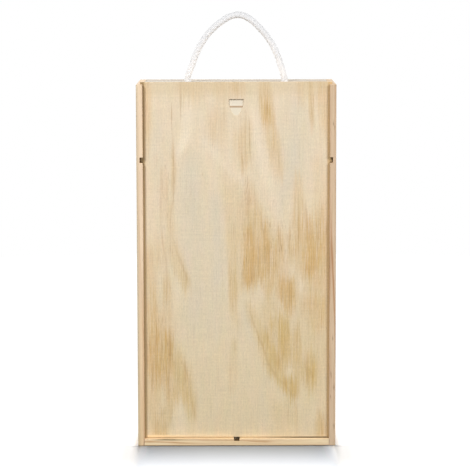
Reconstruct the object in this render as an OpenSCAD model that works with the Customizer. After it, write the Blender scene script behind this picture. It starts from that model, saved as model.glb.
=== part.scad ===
// Upright wooden wine box for two bottles, with a sliding plywood lid and a rope handle.
// The front of the box faces -Y, the height runs along +Z, and the origin is the centre of
// the base. All sizes are in millimetres.

/* [Box] */
// Outside width, over both side boards
box_w = 200; // [190:1:230]
// Outside depth, from the front edges to the back panel
box_d = 108; // [100:1:130]
// Height of the side boards
box_h = 366; // [350:1:400]

/* [Boards] */
// Thickness of the side boards
side_t = 6.5; // [6.5:0.5:9]
// Thickness of the top board
top_t = 7; // [6:0.5:10]
// Thickness of the bottom board
bottom_t = 7; // [6.5:0.5:10]
// Thickness of the plywood back panel
back_t = 4; // [3:0.5:5]
// How far the back panel reaches over the rear edge of each side board
back_lap = 4; // [3:0.5:4.5]
// Width of the eased edges on the boards
ease = 0.6; // [0.3:0.1:1]

/* [Lid] */
// Thickness of the plywood lid
lid_t = 4; // [3:0.5:5]
// Wood left in front of the lid groove
lip_t = 7; // [5:0.5:9]
// Depth of the lid groove in the side boards
groove_depth = 3; // [2.5:0.1:3.2]
// Gap under the closed lid, which lands on the bottom board
lid_gap = 0.2; // [0.1:0.1:0.6]
// How far the closed lid stands above the side boards
lid_proud = 2.3; // [1:0.1:6]

/* [Thumb notch] */
// Width of the notch along its straight upper edge
notch_w = 15; // [12:1:22]
// Height of the notch
notch_h = 17; // [12:1:24]
// Depth of the notch at its upper edge
notch_depth = 2.4; // [1.5:0.1:2.6]
// Distance from the lid's top edge down to the notch
notch_drop = 17.3; // [12:0.1:40]

/* [Inner panels] */
// Thickness of the neck rest and of the divider
panel_t = 5; // [4:0.5:5]
// Width of the dados that take them
dado_w = 5.4; // [5.4:0.1:6]
// Depth of the neck rest's dados in the side boards
dado_depth = 3.2; // [2.8:0.1:3.4]
// Depth of the divider's dados in the top and bottom boards
foot_depth = 2.2; // [1.8:0.1:3]
// Height of the middle of the neck rest above the base
neck_z = 290.4; // [270:0.1:300]
// Width of the cut-outs that hold the bottle necks
neck_slot_w = 33; // [31:0.5:38]
// Radius at the mouth of each cut-out
neck_mouth_r = 5; // [3:0.5:8]

/* [Rope handle] */
// Diameter of the twisted rope
rope_d = 6.8; // [6:0.1:7.2]
// Diameter of the holes in the top board
rope_hole_d = 7.8; // [7.6:0.1:9]
// Height of an overhand knot under the top board
knot_h = 15; // [14:0.5:17]
// Length of loose rope below a knot
tail_l = 6; // [4:0.5:8]

/* [Brads] */
// Diameter of a brad's wire
brad_d = 1.2; // [1:0.1:1.6]
// Diameter of a brad's head
brad_head_d = 2.2; // [1.8:0.1:2.8]
// Length of a brad under its head
brad_l = 19; // [15:1:25]
// How far the heads are set below the wood
brad_set = 0.3; // [0.2:0.1:0.5]

/* [Hidden] */

pine_light = [0.90, 0.80, 0.68];
pine_tan = [0.84, 0.73, 0.58];
ply_face = [0.87, 0.80, 0.68];
ply_inner = [0.85, 0.75, 0.60];
rope_white = [0.94, 0.94, 0.93];
brad_steel = [0.62, 0.62, 0.60];

$fn = 48;
eps = 1;             // how far a cutter runs past the wood it cuts
slip = 0.3;          // play between the lid and its grooves, on each face
touch = 0.2;         // play of an inner panel in its dado or half-lap

half_w = box_w / 2;
front_y = -box_d / 2;
rear_y = box_d / 2;
inner_x = half_w - side_t;
panel_rear_y = rear_y - back_t;

groove_front_y = front_y + lip_t;
groove_w = lid_t + 2 * slip;
groove_rear_y = groove_front_y + groove_w;
lid_face_y = groove_front_y + slip;
lid_bottom_z = bottom_t + lid_gap;
lid_top_z = box_h + lid_proud;
lid_half_w = inner_x + groove_depth - 0.4;
lid_ease = 0.4;

top_z = box_h - top_t;
insert_front_y = groove_rear_y + touch;
insert_mid_y = (insert_front_y + panel_rear_y) / 2;
neck_dado_z = neck_z - dado_w / 2;
divider_bottom_z = bottom_t - foot_depth;
divider_top_z = top_z + foot_depth - touch;
insert_half_w = inner_x + dado_depth - touch;
bay_x = (inner_x + panel_t / 2) / 2;

// Route of the rope's middle line above the top board: distance from the box's middle, and
// height over the board. It comes straight out of each hole and is fuller on its right.
rope_route = [[-49.3, 3.7], [-48.3, 8], [-46.7, 12.5], [-43.8, 20], [-40.5, 28.8],
    [-36.1, 37.6], [-30, 46.9], [-23.7, 53.8], [-16.6, 59.8], [-8.7, 65.1], [-0.5, 67.9],
    [7.4, 67.1], [15.7, 62.6], [24.1, 54.8], [32.4, 45], [39.6, 32.8], [44.8, 19.4],
    [47.8, 9.3], [49.3, 3.7]];
rope_hole_x = 49.3;
rope_y = 3.8;
rope_sides = 12;
rope_r = rope_d / 2;
dome_angles = [75, 50, 25];

brad_top_z = box_h - top_t / 2;
brad_bottom_z = bottom_t / 2;
brad_edge_x = inner_x + 2.2;
brad_head_t = 0.5;
// Places of the brads: along the depth in the sides, along the edges in the back
side_brad_y = [-34, 4, 40];
back_brad_x = [-60, -20, 20, 60];
back_brad_z = [38, 110, 183, 256, 328];

// ---- small helpers ----

// A flat outline in the Y-Z plane, drawn out along X and centred on the middle of the box
module along_x(length) {
    rotate([90, 0, 90])
        translate([0, 0, -length / 2])
            linear_extrude(length)
                children();
}

// Puts one brad, or its recess, at every place in the side boards, heads outward
module at_side_brads(side) {
    for (z = [brad_bottom_z, brad_top_z], y = side_brad_y)
        translate([side * half_w, y, z])
            rotate([0, side * 90, 0])
                children();
}

// The same for the back panel
module at_back_brads() {
    for (z = [brad_bottom_z, brad_top_z], x = back_brad_x)
        translate([x, rear_y, z])
            rotate([-90, 0, 0])
                children();
    for (z = back_brad_z, side = [-1, 1])
        translate([side * brad_edge_x, rear_y, z])
            rotate([-90, 0, 0])
                children();
}

// One brad: its head lies brad_set below the surface at z = 0 and its wire runs down -Z
module brad() {
    translate([0, 0, -brad_set - brad_head_t])
        cylinder(h = brad_head_t, d = brad_head_d);
    translate([0, 0, -brad_set - brad_head_t - brad_l])
        cylinder(h = brad_l + 0.1, d = brad_d);
}

// The dent that a set head leaves in the wood
module brad_recess() {
    translate([0, 0, -brad_set - brad_head_t])
        cylinder(h = brad_set + brad_head_t + eps, d = brad_head_d + 0.2);
}

// ---- carcass ----

// Section of the right side board, seen from above: eased front and rear edges, the lid
// groove behind the front lip, and the rebate for the back panel
module side_profile() {
    polygon([
        [inner_x + ease / 2, front_y], [half_w - ease, front_y],
        [half_w, front_y + ease], [half_w, rear_y - ease], [half_w - ease, rear_y],
        [inner_x + back_lap, rear_y], [inner_x + back_lap, panel_rear_y],
        [inner_x, panel_rear_y], [inner_x, groove_rear_y],
        [inner_x + groove_depth, groove_rear_y], [inner_x + groove_depth, groove_front_y],
        [inner_x, groove_front_y], [inner_x, front_y + ease / 2]
    ]);
}

// One side board. The neck rest's dado crosses its whole width, through the front lip
module side_board() {
    difference() {
        linear_extrude(box_h)
            side_profile();
        translate([inner_x - eps, front_y - eps, neck_dado_z])
            cube([dado_depth + eps, box_d + 2 * eps, dado_w]);
        at_side_brads(1)
            brad_recess();
    }
}

module side_left() {
    color(pine_light)
        mirror([1, 0, 0])
            side_board();
}

module side_right() {
    color(pine_tan)
        side_board();
}

// The top board lies between the sides and behind the lid's path. It has the two rope holes
// with broken edges, and the divider's dado underneath
module top_board() {
    color(pine_light)
        difference() {
            along_x(2 * inner_x)
                polygon([
                    [groove_rear_y, top_z], [panel_rear_y, top_z], [panel_rear_y, box_h],
                    [groove_rear_y + ease, box_h], [groove_rear_y, box_h - ease]
                ]);
            translate([-dado_w / 2, groove_rear_y - eps, top_z - eps])
                cube([dado_w, box_d, foot_depth + eps]);
            for (side = [-1, 1])
                translate([side * rope_hole_x, rope_y, top_z])
                    rope_hole();
        }
}

module rope_hole() {
    edge = 0.5;
    translate([0, 0, -eps])
        cylinder(h = top_t + 2 * eps, d = rope_hole_d);
    translate([0, 0, top_t - edge])
        cylinder(h = 2 * edge, d1 = rope_hole_d, d2 = rope_hole_d + 4 * edge);
}

// The bottom board reaches the front, and the closed lid lands on it. The divider's dado runs
// out through its front edge
module bottom_board() {
    color(pine_tan)
        difference() {
            along_x(2 * inner_x)
                polygon([
                    [front_y, ease / 2], [front_y + ease / 2, 0], [panel_rear_y, 0],
                    [panel_rear_y, bottom_t], [front_y + ease / 2, bottom_t],
                    [front_y, bottom_t - ease / 2]
                ]);
            translate([-dado_w / 2, front_y - eps, divider_bottom_z])
                cube([dado_w, box_d + 2 * eps, foot_depth + eps]);
        }
}

module back_panel() {
    panel_w = 2 * (inner_x + back_lap) - touch;
    color(ply_inner)
        difference() {
            translate([-panel_w / 2, panel_rear_y, 0])
                cube([panel_w, back_t, box_h]);
            at_back_brads()
                brad_recess();
        }
}

// ---- inner panels, which cross in a half-lap ----

// Upright panel between the two bottles, slotted from the front to half its depth
module divider() {
    color(ply_inner)
        difference() {
            translate([-panel_t / 2, insert_front_y, divider_bottom_z])
                cube([panel_t, panel_rear_y - insert_front_y,
                    divider_top_z - divider_bottom_z]);
            translate([-panel_t / 2 - eps, insert_front_y - eps, neck_dado_z])
                cube([panel_t + 2 * eps, insert_mid_y - insert_front_y + eps,
                    panel_t + touch]);
        }
}

// Outline of one neck cut-out, open to the front, with its round end at the origin
module neck_cutout() {
    reach = -insert_front_y + rope_y;
    half = neck_slot_w / 2;
    circle(d = neck_slot_w, $fn = 72);
    translate([-half, -reach - eps])
        square([neck_slot_w, reach + eps]);
    for (side = [-1, 1])
        translate([side * half, -reach])
            mirror([side < 0 ? 1 : 0, 0])
                difference() {
                    translate([-eps, -eps])
                        square([neck_mouth_r + eps, neck_mouth_r + eps]);
                    translate([neck_mouth_r, neck_mouth_r])
                        circle(r = neck_mouth_r);
                }
}

// Level panel that holds both bottle necks, slotted from the rear for the divider
module neck_rest() {
    color(ply_inner)
        translate([0, 0, neck_dado_z])
            linear_extrude(panel_t)
                difference() {
                    translate([-insert_half_w, insert_front_y])
                        square([2 * insert_half_w, panel_rear_y - insert_front_y]);
                    for (side = [-1, 1])
                        translate([side * bay_x, rope_y])
                            neck_cutout();
                    translate([-dado_w / 2, insert_mid_y])
                        square([dado_w, box_d]);
                }
}

// ---- lid ----

// Outline of the thumb notch: straight along its top, narrowing in a curve to its tip
module notch_outline() {
    fullness = 1.3;
    steps = 14;
    polygon([
        for (i = [0 : steps])
            let (a = 180 * i / steps, c = cos(a))
                [sign(c) * pow(abs(c), fullness) * notch_w / 2, -sin(a) * notch_h]
    ]);
}

// The notch's floor slopes from full depth at the top out to the lid's face at the tip
module thumb_notch() {
    top = lid_top_z - notch_drop;
    rise = notch_h / notch_depth;
    intersection() {
        translate([0, lid_face_y + lid_t, top])
            rotate([90, 0, 0])
                linear_extrude(lid_t + eps)
                    notch_outline();
        along_x(notch_w + 2 * eps)
            polygon([
                [lid_face_y + notch_depth, top + eps], [lid_face_y + notch_depth, top],
                [lid_face_y - eps, top - notch_h - rise * eps],
                [lid_face_y - 2 * eps, top + eps]
            ]);
    }
}

// The lid, eased round its foot, which goes into the side boards' grooves first
module lid() {
    color(ply_face)
        difference() {
            along_x(2 * lid_half_w)
                polygon([
                    [lid_face_y + lid_ease, lid_bottom_z],
                    [lid_face_y + lid_t - lid_ease, lid_bottom_z],
                    [lid_face_y + lid_t, lid_bottom_z + lid_ease],
                    [lid_face_y + lid_t, lid_top_z],
                    [lid_face_y, lid_top_z], [lid_face_y, lid_bottom_z + lid_ease]
                ]);
            thumb_notch();
        }
}

// ---- rope ----

function unit(v) = v / norm(v);

// Direction of the rope at route point i: straight up or down at the holes, and elsewhere
// along the line between its neighbours
function rope_way(i) =
    i == 0 ? [0, 1]
    : i == len(rope_route) - 1 ? [0, -1]
    : unit(rope_route[i + 1] - rope_route[i - 1]);

// A ring of the tube round a middle point in the X-Z plane
function rope_ring(mid, way, r) = [
    for (k = [0 : rope_sides - 1])
        let (a = 360 * k / rope_sides)
            [mid[0] - r * sin(a) * way[1], r * cos(a), mid[1] + r * sin(a) * way[0]]
];

// Rings of a round end at route point i; dir is -1 at the start and 1 at the end
function rope_dome(i, dir, angles) = [
    for (a = angles)
        rope_ring(rope_route[i] + dir * rope_r * sin(a) * rope_way(i), rope_way(i),
            rope_r * cos(a))
];

function backwards(list) = [for (i = [len(list) - 1 : -1 : 0]) list[i]];

// The standing part of the handle, as one tube with round ends
module rope_handle() {
    last = len(rope_route) - 1;
    rings = concat(
        rope_dome(0, -1, dome_angles),
        [for (i = [0 : last]) rope_ring(rope_route[i], rope_way(i), rope_r)],
        rope_dome(last, 1, backwards(dome_angles))
    );
    n = rope_sides;
    count = len(rings);
    points = [for (ring = rings, p = ring) p];
    walls = [
        for (j = [0 : count - 2], k = [0 : n - 1])
            let (k2 = (k + 1) % n)
                [j * n + k, j * n + k2, (j + 1) * n + k2, (j + 1) * n + k]
    ];
    first_cap = [for (k = [0 : n - 1]) n - 1 - k];
    last_cap = [for (k = [0 : n - 1]) (count - 1) * n + k];
    color(rope_white)
        translate([0, rope_y, box_h])
            polyhedron(points, concat([first_cap, last_cap], walls));
}

// The rope in its hole, the overhand knot that stops it under the board, and the loose tail
module rope_end() {
    turn_r = knot_h / 4 + 0.3;
    knot_r = 8.8;
    color(rope_white) {
        rotate_extrude()
            intersection() {
                union() {
                    for (row = [0, 1])
                        translate([knot_r - turn_r, -turn_r + 0.4 - row * (knot_h - 2 * turn_r)])
                            circle(r = turn_r);
                    translate([0, -knot_h + 0.4])
                        square([knot_r - turn_r, knot_h - 0.4]);
                }
                translate([0, -2 * knot_h])
                    square([2 * knot_h, 2 * knot_h]);
            }
        cylinder(h = top_t, r = rope_r);
        translate([0, 0, -knot_h - tail_l])
            cylinder(h = tail_l + 2, r = rope_r);
    }
}

module rope_end_left() {
    translate([-rope_hole_x, rope_y, top_z])
        rope_end();
}

module rope_end_right() {
    translate([rope_hole_x, rope_y, top_z])
        rope_end();
}

// ---- fasteners ----

module side_brads() {
    color(brad_steel)
        for (side = [-1, 1])
            at_side_brads(side)
                brad();
}

module back_brads() {
    color(brad_steel)
        at_back_brads()
            brad();
}

side_left();
side_right();
top_board();
bottom_board();
back_panel();
divider();
neck_rest();
lid();
rope_handle();
rope_end_left();
rope_end_right();
side_brads();
back_brads();
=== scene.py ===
"""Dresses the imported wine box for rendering: camera, rope, boards, materials, floor and lamps.

Everything stands in metres in the part's own frame. The numbers of the materials, the rope and
the boards are in millimetres of that frame.
"""

import math

import bmesh
import bpy
import numpy as np
from mathutils import Matrix, Vector


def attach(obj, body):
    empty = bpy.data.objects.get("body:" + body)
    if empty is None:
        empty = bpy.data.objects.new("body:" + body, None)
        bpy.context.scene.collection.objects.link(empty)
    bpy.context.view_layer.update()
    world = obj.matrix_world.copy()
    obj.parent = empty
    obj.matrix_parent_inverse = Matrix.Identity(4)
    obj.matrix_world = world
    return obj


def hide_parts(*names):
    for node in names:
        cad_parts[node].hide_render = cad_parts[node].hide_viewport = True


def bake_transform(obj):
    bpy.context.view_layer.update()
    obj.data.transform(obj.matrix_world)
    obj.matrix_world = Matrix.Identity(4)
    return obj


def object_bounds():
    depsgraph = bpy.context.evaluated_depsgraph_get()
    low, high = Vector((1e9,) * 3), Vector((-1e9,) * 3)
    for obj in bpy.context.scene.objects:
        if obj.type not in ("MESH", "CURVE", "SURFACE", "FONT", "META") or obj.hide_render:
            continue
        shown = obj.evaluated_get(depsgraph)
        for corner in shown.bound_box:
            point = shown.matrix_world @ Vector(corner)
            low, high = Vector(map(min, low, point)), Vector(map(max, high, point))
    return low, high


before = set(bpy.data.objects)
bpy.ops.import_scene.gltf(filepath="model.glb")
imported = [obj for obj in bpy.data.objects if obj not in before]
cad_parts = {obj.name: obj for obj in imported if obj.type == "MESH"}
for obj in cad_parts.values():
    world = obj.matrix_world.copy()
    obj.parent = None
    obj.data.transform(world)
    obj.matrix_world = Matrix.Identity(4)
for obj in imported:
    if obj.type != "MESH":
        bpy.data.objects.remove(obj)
cad_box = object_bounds()

MM = 0.001
X, Y, Z = range(3)
HALF_WIDE, HALF_DEEP = cad_box[1][X], cad_box[1][Y]


def placed(name, data):
    """A new object in the scene."""
    made = bpy.data.objects.new(name, data)
    bpy.context.scene.collection.objects.link(made)
    return made


# ---- camera ----

PITCH, ROLL = 83.25, -0.11

camera = placed("camera", bpy.data.cameras.new("camera"))
camera.data.sensor_width = 36
camera.data.lens = 172.2
camera.data.clip_end = 60
camera.location = (-0.00142, -2.29436, 0.48036)
tilt = Matrix.Rotation(math.radians(PITCH), 3, "X") @ Matrix.Rotation(math.radians(ROLL), 3, "Z")
camera.rotation_euler = tilt.to_euler()
bpy.context.scene.camera = camera


# ---- node graphs ----


def srgb(r, g, b):
    """A colour given as it shows on a screen, 0 to 255, as linear RGBA."""

    def linear(v):
        v /= 255
        return v / 12.92 if v <= 0.04045 else ((v + 0.055) / 1.055) ** 2.4

    return (linear(r), linear(g), linear(b), 1.0)


def cells(axis, along, across):
    """Three sizes: one along an axis, and another for both axes across it."""
    return tuple(along if a == axis else across for a in range(3))


class Nodes:
    """A node tree. Each method adds a node, and values are numbers or other nodes' outputs."""

    def __init__(self, owner):
        owner.use_nodes = True
        self.tree = owner.node_tree
        self.tree.nodes.clear()

    def node(self, kind, *values, **settings):
        made = self.tree.nodes.new(kind)
        for name, value in settings.items():
            setattr(made, name, value)
        for socket, value in zip(made.inputs, values):
            self.put(socket, value)
        return made

    def put(self, socket, value):
        if isinstance(value, bpy.types.NodeSocket):
            self.tree.links.new(value, socket)
        else:
            socket.default_value = value

    def math(self, operation, *values):
        return self.node("ShaderNodeMath", *values, operation=operation).outputs[0]

    def plus(self, a, b):
        return self.math("ADD", a, b)

    def minus(self, a, b):
        return self.math("SUBTRACT", a, b)

    def times(self, product, *factors):
        for factor in factors:
            product = self.math("MULTIPLY", product, factor)
        return product

    def muladd(self, value, factor, more):
        """value times factor, plus more."""
        return self.math("MULTIPLY_ADD", value, factor, more)

    def least(self, a, b):
        return self.math("MINIMUM", a, b)

    def most(self, a, b):
        return self.math("MAXIMUM", a, b)

    def abs(self, value):
        return self.math("ABSOLUTE", value)

    def around(self, noise, amount):
        """A noise value as a factor of 1, give or take amount."""
        return self.muladd(noise, 2 * amount, 1 - amount)

    def swing(self, noise, amount):
        """A noise value as an offset of up to amount either way."""
        return self.muladd(noise, 2 * amount, -amount)

    def span(self, value, low, high, to_low=0.0, to_high=1.0, kind="SMOOTHSTEP"):
        """value's place between low and high, eased and held to that range."""
        numbers = (value, low, high, to_low, to_high)
        return self.node("ShaderNodeMapRange", *numbers, interpolation_type=kind).outputs[0]

    def vector(self, operation, *values, scale=None):
        made = self.node("ShaderNodeVectorMath", *values, operation=operation)
        if scale is not None:
            self.put(made.inputs["Scale"], scale)
        return made.outputs["Value" if operation in ("DOT_PRODUCT", "LENGTH") else "Vector"]

    def split(self, vector):
        return list(self.node("ShaderNodeSeparateXYZ", vector).outputs)

    def join(self, *parts):
        return self.node("ShaderNodeCombineXYZ", *parts).outputs[0]

    def noise(self, vector, stretch=(1, 1, 1), detail=2, roughness=0.5, colour=False):
        """Noise with cells of about stretch along each axis."""
        sizes = tuple(1 / s for s in stretch)
        made = self.node("ShaderNodeTexNoise", self.vector("MULTIPLY", vector, sizes))
        made.inputs["Scale"].default_value = 1
        made.inputs["Detail"].default_value = detail
        made.inputs["Roughness"].default_value = roughness
        return made.outputs["Color" if colour else 0]

    def ramp(self, factor, stops, interpolation="LINEAR"):
        """A grey value by stops of (position, value)."""
        made = self.node("ShaderNodeValToRGB", factor)
        made.color_ramp.interpolation = interpolation
        elements = made.color_ramp.elements
        while len(elements) < len(stops):
            elements.new(1)
        for element, (position, value) in zip(elements, stops):
            element.position = position
            element.color = (value, value, value, 1)
        return made.outputs[0]

    def mix(self, factor, a, b):
        """Colour a, turning into b as factor goes from 0 to 1."""
        made = self.node("ShaderNodeMix", factor, data_type="RGBA")
        self.put(made.inputs[6], a)
        self.put(made.inputs[7], b)
        return made.outputs[2]

    def shade(self, colour, factor):
        """colour times a grey factor."""
        return self.vector("SCALE", colour[:3] if isinstance(colour, tuple) else colour, scale=factor)


class Graph(Nodes):
    """A material of the box: its nodes, and the point and normal that they start from."""

    def __init__(self, name):
        self.material = bpy.data.materials.new(name)
        super().__init__(self.material)
        self.shader = self.node("ShaderNodeBsdfPrincipled")
        self.node("ShaderNodeOutputMaterial", self.shader.outputs[0])
        self.coordinates = self.node("ShaderNodeTexCoord")
        self.mm = self.vector("SCALE", self.coordinates.outputs["Object"], scale=1 / MM)
        self.axes = self.split(self.mm)
        self.normal = self.split(self.coordinates.outputs["Normal"])

    def finish(self, colour, roughness, height, depth, specular=0.35):
        """Links the surface. depth is the relief of height from 0 to 1, in millimetres."""
        self.put(self.shader.inputs["Base Color"], colour)
        self.put(self.shader.inputs["Roughness"], roughness)
        self.shader.inputs["Specular IOR Level"].default_value = specular
        bump = self.node("ShaderNodeBump")
        bump.inputs["Strength"].default_value = 1
        bump.inputs["Distance"].default_value = depth * MM
        self.put(bump.inputs["Height"], height)
        self.put(self.shader.inputs["Normal"], bump.outputs[0])
        return self.material


# ---- drawn streaks ----
# Each streak is a list of rows (place along the grain, place across it, half-width, strength), the
# first three in millimetres. FIGURE_LONG and FIGURE_WIDE are the sizes that the rows fit in.

FIGURE_LONG, FIGURE_WIDE = 380.0, 200.0
STREAKS_AT_ONCE = 3
# A streak fades out to this many half-widths from its middle.
HUMP_SPREAD = 1.25


def streak_curves(g, along, group, column, scale, shift, empty):
    """One column of up to three streaks, read at a place along them, as the parts of a vector."""
    node = g.node("ShaderNodeVectorCurve")
    for curve, streak in zip(node.mapping.curves, group + [None] * STREAKS_AT_ONCE):
        points = [(0.0, empty), (1.0, empty)]
        if streak:
            rows = [(row[0] / FIGURE_LONG, (row[column] + shift) / scale) for row in sorted(streak)]
            inner = [row for row in rows if 0 < row[0] < 1]
            points = [(0.0, rows[0][1]), *inner, (1.0, rows[-1][1])]
        curve.points[0].location, curve.points[1].location = points[0], points[-1]
        for point in points[1:-1]:
            curve.points.new(*point)
        for point in curve.points:
            point.handle_type = "VECTOR"
    node.mapping.update()
    g.put(node.inputs["Vector"], along)
    return node.outputs[0]


def streaks(g, across, along, rows, flat=1.0):
    """The summed strength of the streaks at a point, three streaks to each set of nodes.

    across and along go from 0 to 1 over the figure. A streak's profile is a smooth hump, which
    flat above 1 makes fuller.
    """
    total = 0.0
    place = g.join(across, across, across)
    at = g.join(along, along, along)
    for first in range(0, len(rows), STREAKS_AT_ONCE):
        group = rows[first : first + STREAKS_AT_ONCE]
        middle = streak_curves(g, at, group, 1, FIGURE_WIDE, FIGURE_WIDE / 2, 0.5)
        half = streak_curves(g, at, group, 2, FIGURE_WIDE / HUMP_SPREAD, 0, 0.1)
        off = g.vector("DIVIDE", g.vector("SUBTRACT", place, middle), half)
        near = g.vector("SUBTRACT", (1, 1, 1), g.vector("ABSOLUTE", off))
        near = g.vector("MAXIMUM", near, (0, 0, 0))
        if flat > 1:
            near = g.vector("MINIMUM", g.vector("SCALE", near, scale=flat), (1, 1, 1))
        eased = g.vector("MULTIPLY_ADD", near, (-2, -2, -2), (3, 3, 3))
        soft = g.vector("MULTIPLY", g.vector("MULTIPLY", near, near), eased)
        strength = streak_curves(g, at, group, 3, 1.0, 0, 0.0)
        total = g.plus(total, g.vector("DOT_PRODUCT", soft, strength))
    return total


# ---- pine boards ----

# Marks on a front edge start to show at the first y and show fully at the second.
FRONT_EDGE = (-46, -50)
# The sizes along and across the grain of the waves that bend it.
WANDER_CELLS, RIPPLE_CELLS = (170, 70), (24, 5)
WANDER, RIPPLE = 9, 0.8
BLUSH = srgb(224, 194, 168)
# A side board's dado is cut no further out than this x, and the bottom board's lies below this z.
SIDE_DADO_X = 96.4
BOTTOM_DADO_Z = 6.5


def fibres(g, point, along):
    """Streaks of three sizes along the grain axis, each a noise value from 0 to 1."""
    wide = g.noise(point, cells(along, 70, 2.6))
    fine = g.noise(point, cells(along, 26, 0.7), detail=3, roughness=0.6)
    hair = g.noise(point, cells(along, 6, 0.22))
    return wide, fine, hair


def bent(g, size, amount):
    """A smooth random offset of up to half of amount either way."""
    noise = g.noise(g.mm, size, colour=True)
    return g.vector("SCALE", g.vector("SUBTRACT", noise, (0.5, 0.5, 0.5)), scale=amount)


def growth_rings(g, point, along, pith, spacing):
    """How much late wood there is at a point, 0 to 1, for rings round a pith line."""
    first, second = (axis for axis in range(3) if axis != along)
    place = g.split(point)
    a = g.minus(place[first], pith[0])
    b = g.minus(place[second], pith[1])
    radius = g.vector("LENGTH", g.join(a, b, 0.0))
    radius = g.muladd(place[along], 0.018, radius)
    uneven = g.noise(g.join(radius, 0.0, 0.0), (9, 9, 9), detail=1)
    radius = g.muladd(uneven, 5.0, radius)
    ring = g.math("FRACT", g.math("DIVIDE", radius, spacing))
    return g.ramp(ring, [(0, 0.05), (0.45, 0.1), (0.75, 0.42), (0.93, 1.0), (1.0, 0.05)])


def pine_tone(g, point, along, wide, fine, hair):
    """How light the wood is: fibres of three sizes, resin canals and small specks."""
    tone = g.times(g.around(wide, 0.05), g.around(fine, 0.08), g.around(hair, 0.06))
    canal = g.noise(point, cells(along, 4.5, 0.3), detail=0)
    speck = g.noise(g.mm, cells(along, 2.6, 1.5), detail=1)
    return g.times(tone, g.span(canal, 0.7, 0.78, 1.0, 0.86), g.span(speck, 0.75, 0.82, 1.0, 0.72))


def front_marks(g, colour, along, ripple, fine, marks):
    """Streaks on a board's front edge. marks is a list of (streaks, their colour)."""
    over_axis, start = (X, 0.0) if along == Z else (Z, HALF_WIDE / MM)
    over = g.plus(g.axes[over_axis], g.split(ripple)[over_axis])
    run = g.math("DIVIDE", g.plus(g.axes[along], start), FIGURE_LONG)
    over = g.muladd(over, 1 / FIGURE_WIDE, 0.5)
    front = g.times(g.span(g.axes[Y], *FRONT_EDGE), g.around(fine, 0.35))
    for rows, stain in marks:
        drawn = g.least(streaks(g, over, run, rows), 1.0)
        colour = g.mix(g.times(drawn, front), colour, stain)
    return colour


def lid_foot_shade(g, colour, start, end, foot_shade_colour):
    """Painted shade on the bottom board under the lid's foot, growing from x = start to x = end."""
    line = g.times(g.span(g.axes[Y], -50.8, -49.4), g.span(g.axes[Y], -44.5, -46.0))
    line = g.times(line, g.span(g.axes[Z], 6.5, 6.9))
    return g.mix(g.times(line, g.span(g.axes[X], start, end, 0.0, 0.9)), colour, foot_shade_colour)


def dado_shade(g, colour, axis, middle, half, dado_shade_colour):
    """Painted shade on the walls and floor of a dado. axis is the one that it is narrow in."""
    off = g.abs(g.minus(g.axes[axis], middle))
    inside = g.times(g.math("LESS_THAN", off, half), g.span(g.abs(g.normal[Y]), 0.7, 0.4))
    if axis == Z:
        inside = g.times(inside, g.math("LESS_THAN", g.abs(g.axes[X]), SIDE_DADO_X))
    else:
        cut = g.plus(g.abs(g.normal[X]), g.math("LESS_THAN", g.axes[Z], BOTTOM_DADO_Z))
        inside = g.times(inside, g.span(cut, 0.4, 0.6))
    return g.mix(inside, colour, dado_shade_colour)


def solid_pine(
    name, along, pith, spacing, early, late,
    face=X, quiet=0.4, low=None, band=None, marks=(), foot_shade=None, dado=None,
):
    """Sawn pine: growth rings round a pith line, cut by whatever surface the board has.

    pith is where the rings' centre lies in the two axes across the grain. The rings show fully on
    the surfaces whose normal is the face axis, and quiet as much on the planed edges. early and
    late are the two woods' colours, and low is the early wood's colour at the foot. band is
    (y from, y to, factors) of wood that turns greyer. marks is what front_marks takes, and the
    last two paint shade, under the lid's foot and in a dado, as the two functions above take them.
    """
    g = Graph(name)
    wander = bent(g, cells(along, *WANDER_CELLS), WANDER)
    ripple = bent(g, cells(along, *RIPPLE_CELLS), RIPPLE)
    point = g.vector("ADD", g.vector("ADD", g.mm, wander), ripple)
    wood = growth_rings(g, point, along, pith, spacing)
    wide, fine, hair = fibres(g, point, along)
    contrast = g.span(g.abs(g.normal[face]), 0.4, 0.8, quiet, 1.0)
    amount = g.times(g.around(fine, 0.45), contrast, wood)
    if low:
        early = g.mix(g.span(g.plus(g.axes[Z], g.times(wide, 60.0)), 60, 260), low, early)
    colour = g.mix(g.least(amount, 1.0), early, late)
    blush = g.noise(g.mm, cells(along, 38, 9))
    colour = g.mix(g.span(blush, 0.35, 0.75, 0.0, 0.35), colour, BLUSH)
    colour = g.shade(colour, pine_tone(g, point, along, wide, fine, hair))
    if band:
        place = g.plus(g.axes[Y], g.times(wide, 14.0))
        colour = g.mix(g.span(place, *band[:2]), colour, g.vector("MULTIPLY", colour, band[2]))
    if marks:
        colour = front_marks(g, colour, along, ripple, fine, marks)
    if foot_shade:
        colour = lid_foot_shade(g, colour, *foot_shade)
    # The ends show the cut fibres: dotted rather than streaked.
    end = g.span(g.abs(g.normal[along]), 0.6, 0.9)
    dots = g.noise(g.mm, (0.35, 0.35, 0.35))
    colour = g.mix(end, colour, g.shade(colour, g.around(dots, 0.1)))
    if dado:
        colour = dado_shade(g, colour, *dado)
    height = g.muladd(wood, -0.35, g.plus(fine, g.times(hair, 0.5)))
    return g.finish(colour, g.muladd(fine, 0.16, 0.52), height, 0.05)


# ---- the lid's figure: streaks by (height, place across) ----

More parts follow.
